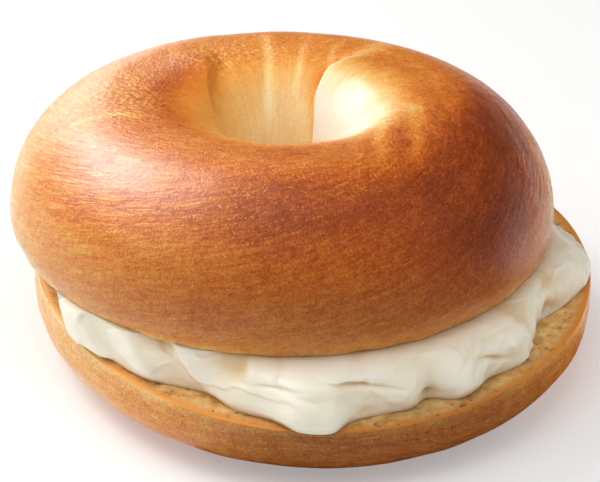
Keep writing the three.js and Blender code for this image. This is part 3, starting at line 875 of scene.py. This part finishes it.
class Nodes:
    """A short way to write node trees: calls add nodes and return the last one's output."""

    def __init__(self, tree):
        self.tree = tree

    def put(self, socket, value):
        if isinstance(value, bpy.types.NodeSocket):
            self.tree.links.new(value, socket)
        else:
            socket.default_value = value

    def node(self, kind, inputs, output=0, **settings):
        made = self.tree.nodes.new("ShaderNode" + kind)
        for key, value in settings.items():
            setattr(made, key, value)
        for socket, value in inputs.items():
            self.put(made.inputs[socket], value)
        return made.outputs[output]

    def math(self, operation, a, b=0.0, clamp=False):
        return self.node("Math", {0: a, 1: b}, operation=operation, use_clamp=clamp)

    def plus(self, base, term, factor):
        """base + term * factor"""
        return self.math("ADD", base, self.math("MULTIPLY", term, factor))

    def centred(self, noise):
        return self.math("SUBTRACT", noise, 0.5)

    def vector(self, operation, a, b):
        return self.node("VectorMath", {0: a, 1: b}, operation=operation)

    def between(self, value, low, high, to_low=0.0, to_high=1.0):
        inputs = dict(enumerate((value, low, high, to_low, to_high)))
        return self.node("MapRange", inputs, interpolation_type="SMOOTHSTEP")


class Shader(Nodes):
    def __init__(self, name):
        self.material = bpy.data.materials.new(name)
        self.material.use_nodes = True
        super().__init__(self.material.node_tree)

    def finish(self, inputs):
        """Sets or links the inputs of the surface, and returns the material."""
        for name, value in inputs.items():
            self.put(self.tree.nodes["Principled BSDF"].inputs[name], value)
        return self.material

    def attribute(self, name, vector=False):
        return self.node("Attribute", {}, output=1 if vector else 2, attribute_name=name)

    def object_place(self):
        return self.node("TexCoord", {}, output=3)

    def ramp(self, value, stops):
        made = self.tree.nodes.new("ShaderNodeValToRGB")
        elements = made.color_ramp.elements
        while len(elements) < len(stops):
            elements.new(0.5)
        for element, (position, colour) in zip(elements, stops):
            element.position = position
            element.color = linear(*colour)
        self.put(made.inputs[0], value)
        return made.outputs[0]

    def mix(self, factor, a, b):
        return self.node("Mix", {0: factor, 6: a, 7: b}, output=2, data_type="RGBA")

    def scaled(self, colour, factor):
        return self.node("VectorMath", {0: colour, "Scale": factor}, operation="SCALE")

    def crease(self, noise, sharpness):
        """Narrow valleys where the noise crosses its middle: 0 in them and 1 between them."""
        off = self.math("ABSOLUTE", self.centred(noise))
        return self.math("MULTIPLY", off, sharpness, clamp=True)

    def noise(self, vector, scale, detail=2.0, roughness=0.5):
        return self.node("TexNoise", {"Vector": vector, "Scale": scale, "Detail": detail,
                                      "Roughness": roughness})

    def line_noise(self, across, along, detail=2.0, roughness=0.5):
        """Noise drawn out along the twist: features per millimetre across and along it."""
        place = self.vector("MULTIPLY", self.attribute("along", vector=True),
                            (across, across, along))
        w = self.math("MULTIPLY", self.attribute("along_w"), along)
        return self.node("TexNoise", {"Vector": place, "W": w, "Scale": 1.0, "Detail": detail,
                                      "Roughness": roughness}, noise_dimensions="4D")

    def cells(self, vector, scale):
        """The distance from the nearest of many scattered points."""
        return self.node("TexVoronoi", {"Vector": vector, "Scale": scale, "Randomness": 1.0},
                         feature="F1")

    def bumps(self, heights):
        """Relief from several heights, each with its distance in metres."""
        relief = None
        for height, distance in heights:
            inputs = {"Strength": 1.0, "Distance": distance, "Height": height}
            if relief is not None:
                inputs["Normal"] = relief
            relief = self.node("Bump", inputs)
        return relief


# A crust's colour as it browns, from raw to darkest, and the crumb's, from its dark spots to
# its pale ones. Noise scales are in features per metre.
BROWNING = [
    (0.00, (240, 231, 213)),
    (0.12, (248, 222, 170)),
    (0.26, (238, 190, 112)),
    (0.42, (230, 150, 62)),
    (0.56, (209, 114, 37)),
    (0.70, (172, 79, 25)),
    (0.84, (137, 59, 26)),
    (1.00, (100, 42, 20)),
]
CRUMB = [(0.30, (194, 140, 74)), (0.45, (218, 170, 102)), (0.60, (234, 194, 128)),
         (0.80, (244, 216, 160))]
# The first of these is the painted shade in the crumb's pores.
PORE_SHADE, TOAST, RIM_GLOW = linear(156, 104, 50), linear(206, 124, 48), linear(240, 160, 76)
BLISTER_SCALE, PEBBLE_SCALE = 1350.0, 820.0
# The cheese's colours, from its swells to its valleys; the darker, yellower end is painted shade.
CHEESE_COLOURS = [(0.25, (252, 243, 226)), (0.55, (249, 236, 212)), (0.95, (236, 214, 174))]


def bread_material(name, gloss):
    s = Shader(name)
    place = s.object_place()
    down = s.attribute("down", vector=True)
    crumb = s.attribute("crumb")
    wrinkle, pebble, painted_shading = s.attribute("wrinkle"), s.attribute("pebble"), s.attribute("painted_shading")

    # Browning: broad clouds, grain along the twist, fine mottling, and streaks into the hole.
    shade = s.plus(s.attribute("bake_and_painted_light"), s.centred(s.noise(place, 90, 3, 0.55)), 0.12)
    grit = 0.0
    for cloud, amount in ((s.line_noise(1.1, 0.10, 3, 0.6), 0.12),
                          (s.line_noise(1.6, 0.40, 2, 0.6), 0.24),
                          (s.noise(place, 330, 2, 0.6), 0.12),
                          (s.noise(place, 900, 2, 0.6), 0.22),
                          (s.noise(place, 2600, 2, 0.6), 0.54)):
        grit = s.plus(grit, s.centred(cloud), amount)
    shade = s.plus(shade, grit, s.attribute("grit"))
    streaks = s.noise(s.vector("MULTIPLY", down, (0.9, 0.9, 0.05)), 1.0, 2, 0.6)
    streaks = s.math("MULTIPLY", s.centred(streaks), 0.16)
    shade = s.plus(shade, streaks, s.attribute("streak"))

    # Fine creases along the twist, with painted shade in their valleys.
    creases = s.plus(s.crease(s.line_noise(0.80, 0.09), 5.0),
                     s.crease(s.line_noise(1.70, 0.17), 4.0), 0.6)
    crease_shade = s.math("MULTIPLY", s.math("SUBTRACT", 1.25, creases), wrinkle)
    shade = s.plus(shade, crease_shade, 0.15)

    # Tiny blisters: small raised dots on some of the cells, paler partly in their own colour and
    # partly as a painted highlight.
    chosen = s.between(s.noise(place, 500, 1), 0.30, 0.50)
    dots = s.between(s.cells(place, BLISTER_SCALE), 0.10, 0.32, 1.0, 0.0)
    dots = s.math("MULTIPLY", s.math("MULTIPLY", dots, chosen), s.attribute("blister"))
    shade = s.plus(shade, dots, -0.18)

    # Pebbled patches: larger bumps whose tops are paler, partly their own colour and partly a
    # painted highlight.
    pebbles = s.between(s.cells(place, PEBBLE_SCALE), 0.08, 0.62, 1.0, 0.0)
    pebbles = s.math("MULTIPLY", pebbles, pebble)
    shade = s.plus(s.plus(shade, pebble, 0.03), pebbles, -0.17)
    # The crust's colour is scaled by painted light and shade.
    crust_colour = s.scaled(s.ramp(shade, BROWNING), painted_shading)

    # Crumb: pale, with painted shade in its small pores, and a toasted rim.
    crumb_noise = s.noise(place, 420, 3, 0.6)
    pores = s.between(s.noise(place, 620, 2, 0.6), 0.27, 0.35, 1.0, 0.0)
    crumb_colour = s.ramp(crumb_noise, CRUMB)
    for amount, most, colour in ((pores, 0.5, PORE_SHADE), (s.attribute("toast"), 0.75, TOAST),
                                 (s.attribute("rim_glow"), 0.7, RIM_GLOW)):
        crumb_colour = s.mix(s.math("MULTIPLY", amount, most), crumb_colour, colour)
    # The crumb's colour is scaled by painted light and shade too.
    crumb_colour = s.scaled(crumb_colour, painted_shading)

    crust = s.math("SUBTRACT", 1.0, crumb)
    patchy = s.between(s.noise(place, 300, 3), 0.3, 0.7, gloss - 0.05, gloss + 0.08)
    skin = s.math("MULTIPLY", s.noise(place, 1300, 3, 0.65), s.attribute("grit"))
    crumb_height = s.math("MULTIPLY", s.math("SUBTRACT", crumb_noise, pores), crumb)
    return s.finish({
        "Base Color": s.mix(crumb, crust_colour, crumb_colour),
        "Roughness": s.plus(s.math("MULTIPLY", patchy, crust), crumb, 0.85),
        "Normal": s.bumps([(s.math("MULTIPLY", creases, wrinkle), 0.00008), (skin, 0.00020),
                           (dots, 0.00007), (pebbles, 0.00016), (crumb_height, 0.0006)]),
        "Coat Weight": s.math("MULTIPLY", s.attribute("shine"), 0.50),
        "Coat Roughness": 0.36,
        "Specular IOR Level": 0.18,
        "Subsurface Weight": 0.10,
        "Subsurface Radius": (1.0, 0.5, 0.25),
        "Subsurface Scale": 0.0012,
    })


def cheese_material():
    s = Shader("cream_cheese")
    place = s.object_place()
    # Painted shade in the valleys, with random clouds.
    depth = s.plus(s.attribute("valley_shade"), s.centred(s.noise(place, 160, 2)), 0.5)
    return s.finish({
        "Base Color": s.ramp(depth, CHEESE_COLOURS),
        "Roughness": s.between(s.noise(place, 250, 3), 0.3, 0.7, 0.34, 0.46),
        "Normal": s.bumps([(s.noise(place, 300), 0.00018), (s.noise(place, 1400), 0.00002)]),
        "Specular IOR Level": 0.45,
        "Subsurface Weight": 0.6,
        "Subsurface Radius": (1.0, 0.75, 0.5),
        "Subsurface Scale": 0.002,
    })


# ---- Floor, light and camera

FLOOR_HALF_SIDE, FLOOR_SPLIT = 3.0, -0.02
LIGHT_DISTANCE = 0.75
LIGHT_HEIGHT = 0.03  # of the point that the lights face
WALL_TOP, CEILING_START = 0.08, 0.22  # sines of the elevations where the walls' light fades
WALL_LIGHT, CEILING_LIGHT = 0.92, 0.15
PHOTO_WIDTH, PHOTO_HEIGHT = 600, 482
SENSOR_WIDTH = 36


def make_floor():
    """A pale floor that glows a little; its right front part doesn't show in the gloss."""
    material = Shader("floor").finish({
        "Base Color": (0.62, 0.62, 0.62, 1), "Roughness": 1.0, "Specular IOR Level": 0.0,
        "Emission Color": (1, 1, 1, 1), "Emission Strength": 0.32})
    side, split = FLOOR_HALF_SIDE, FLOOR_SPLIT
    for name, left, near_side, right, far in (("floor_left", -side, -side, split, side),
                                              ("floor_back", split, 0, side, side),
                                              ("floor_front", split, -side, side, 0)):
        mesh = bpy.data.meshes.new(name)
        corners = [(left, near_side, 0), (right, near_side, 0), (right, far, 0), (left, far, 0)]
        mesh.from_pydata(corners, [], [(0, 1, 2, 3)])
        mesh.materials.append(material)
        floor = new_object(name, mesh)
        floor.visible_glossy = name != "floor_front"


def towards(azimuth, elevation):
    """A unit vector; azimuth is counter-clockwise from +X."""
    return Vector((cos_deg(azimuth) * cos_deg(elevation), sin_deg(azimuth) * cos_deg(elevation),
                   sin_deg(elevation)))


def add_light(data, azimuth, elevation, distance, aim, power, colour=(1, 1, 1), only=None):
    """Faces a light towards a point; `only` keeps it to the "matt" or "gloss" of a surface."""
    data.energy = power
    data.color = colour
    light = new_object(data.name, data)
    direction = towards(azimuth, elevation)
    light.location = direction * distance + Vector(aim)
    light.rotation_euler = direction.to_track_quat("Z", "Y").to_euler()
    light.visible_diffuse = only != "gloss"
    light.visible_glossy = only != "matt"


def area_light(name, azimuth, elevation, size, power, **options):
    data = bpy.data.lights.new(name, "AREA")
    data.shape = "RECTANGLE"
    data.size, data.size_y = size
    add_light(data, azimuth, elevation, LIGHT_DISTANCE, (0, 0, LIGHT_HEIGHT), power, **options)


def make_light():
    # Each light's azimuth, elevation, size in metres and power in watts.
    warm = (1.0, 0.985, 0.965)
    area_light("key", 150, 46, (0.44, 0.40), 4.0, colour=warm)
    area_light("sheen", 148, 40, (0.54, 0.46), 7.2, only="gloss")
    area_light("low_sheen", 118, 12, (0.50, 0.26), 1.4, only="gloss")
    area_light("left_sheen", 200, 35, (0.45, 0.40), 0.8, only="gloss")
    area_light("left", 206, 52, (0.45, 0.45), 1.20, colour=warm, only="matt")
    area_light("front", 257, 58, (0.45, 0.45), 0.60, only="matt")
    area_light("top", 268, 82, (0.50, 0.50), 1.60, only="matt")
    area_light("right", 345, 38, (0.45, 0.45), 0.78, only="matt")

    # A narrow spot over the front of the bagel lights the far wall of its hole.
    hole = bpy.data.lights.new("hole", "SPOT")
    hole.spot_size = math.radians(4.5)
    hole.spot_blend = 1.0
    hole.shadow_soft_size = 0.02
    add_light(hole, 262, 50, 0.6, (-0.008, 0.014, 0.038), 2.0, colour=warm, only="matt")


def make_world():
    """Pale walls low round the horizon under a dimmer ceiling, which don't show in gloss."""
    world = bpy.data.worlds.new("studio")
    world.use_nodes = True
    bpy.context.scene.world = world
    world.cycles_visibility.glossy = False
    background = world.node_tree.nodes["Background"]
    n = Nodes(world.node_tree)
    direction = n.node("TexCoord", {})
    level = n.math("ABSOLUTE", n.node("SeparateXYZ", {0: direction}, output=2))
    n.put(background.inputs["Color"], (1, 1, 1, 1))
    n.put(background.inputs["Strength"],
          n.between(level, WALL_TOP, CEILING_START, WALL_LIGHT, CEILING_LIGHT))


def make_camera():
    """Fitted to the photograph: it looks down at about 28 degrees from 450 mm away."""
    distance, elevation = 0.450, 27.75
    pixels_per_mm = 5.147
    target = Vector((BOTTOM_HALF["centre"][0], BOTTOM_HALF["centre"][1], 25)) * MM
    target_pixel = (311.0, 223.0)
    back = Vector((0, -cos_deg(elevation), sin_deg(elevation)))
    right, up = Vector((1, 0, 0)), Vector((0, sin_deg(elevation), cos_deg(elevation)))
    focal_pixels = pixels_per_mm * distance / MM
    aim = (-back + right * ((PHOTO_WIDTH / 2 - target_pixel[0]) / focal_pixels)
           - up * ((PHOTO_HEIGHT / 2 - target_pixel[1]) / focal_pixels))
    data = bpy.data.cameras.new("camera")
    data.sensor_width = SENSOR_WIDTH
    data.lens = SENSOR_WIDTH * focal_pixels / PHOTO_WIDTH
    data.clip_start, data.clip_end = 0.01, 20
    camera = new_object("camera", data)
    camera.location = target + back * distance
    camera.rotation_euler = aim.to_track_quat("-Z", "Y").to_euler()
    bpy.context.scene.camera = camera


# ---- The bagel

make_camera()
make_floor()
make_light()
make_world()
bpy.context.scene.view_settings.view_transform = "Standard"

pieces = [
    (make_bottom_half(), bread_material("bread_bottom", 0.40), "bottom_half", "bread_bottom"),
    (make_cheese(), cheese_material(), "cream_cheese", "cream_cheese"),
    (make_top_half(), bread_material("bread_top", 0.30), "top_half", "bread_top"),
]
for piece, material, node, slot in pieces:
    piece.data.materials.append(material)
    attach(piece, "root")
    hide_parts(node)
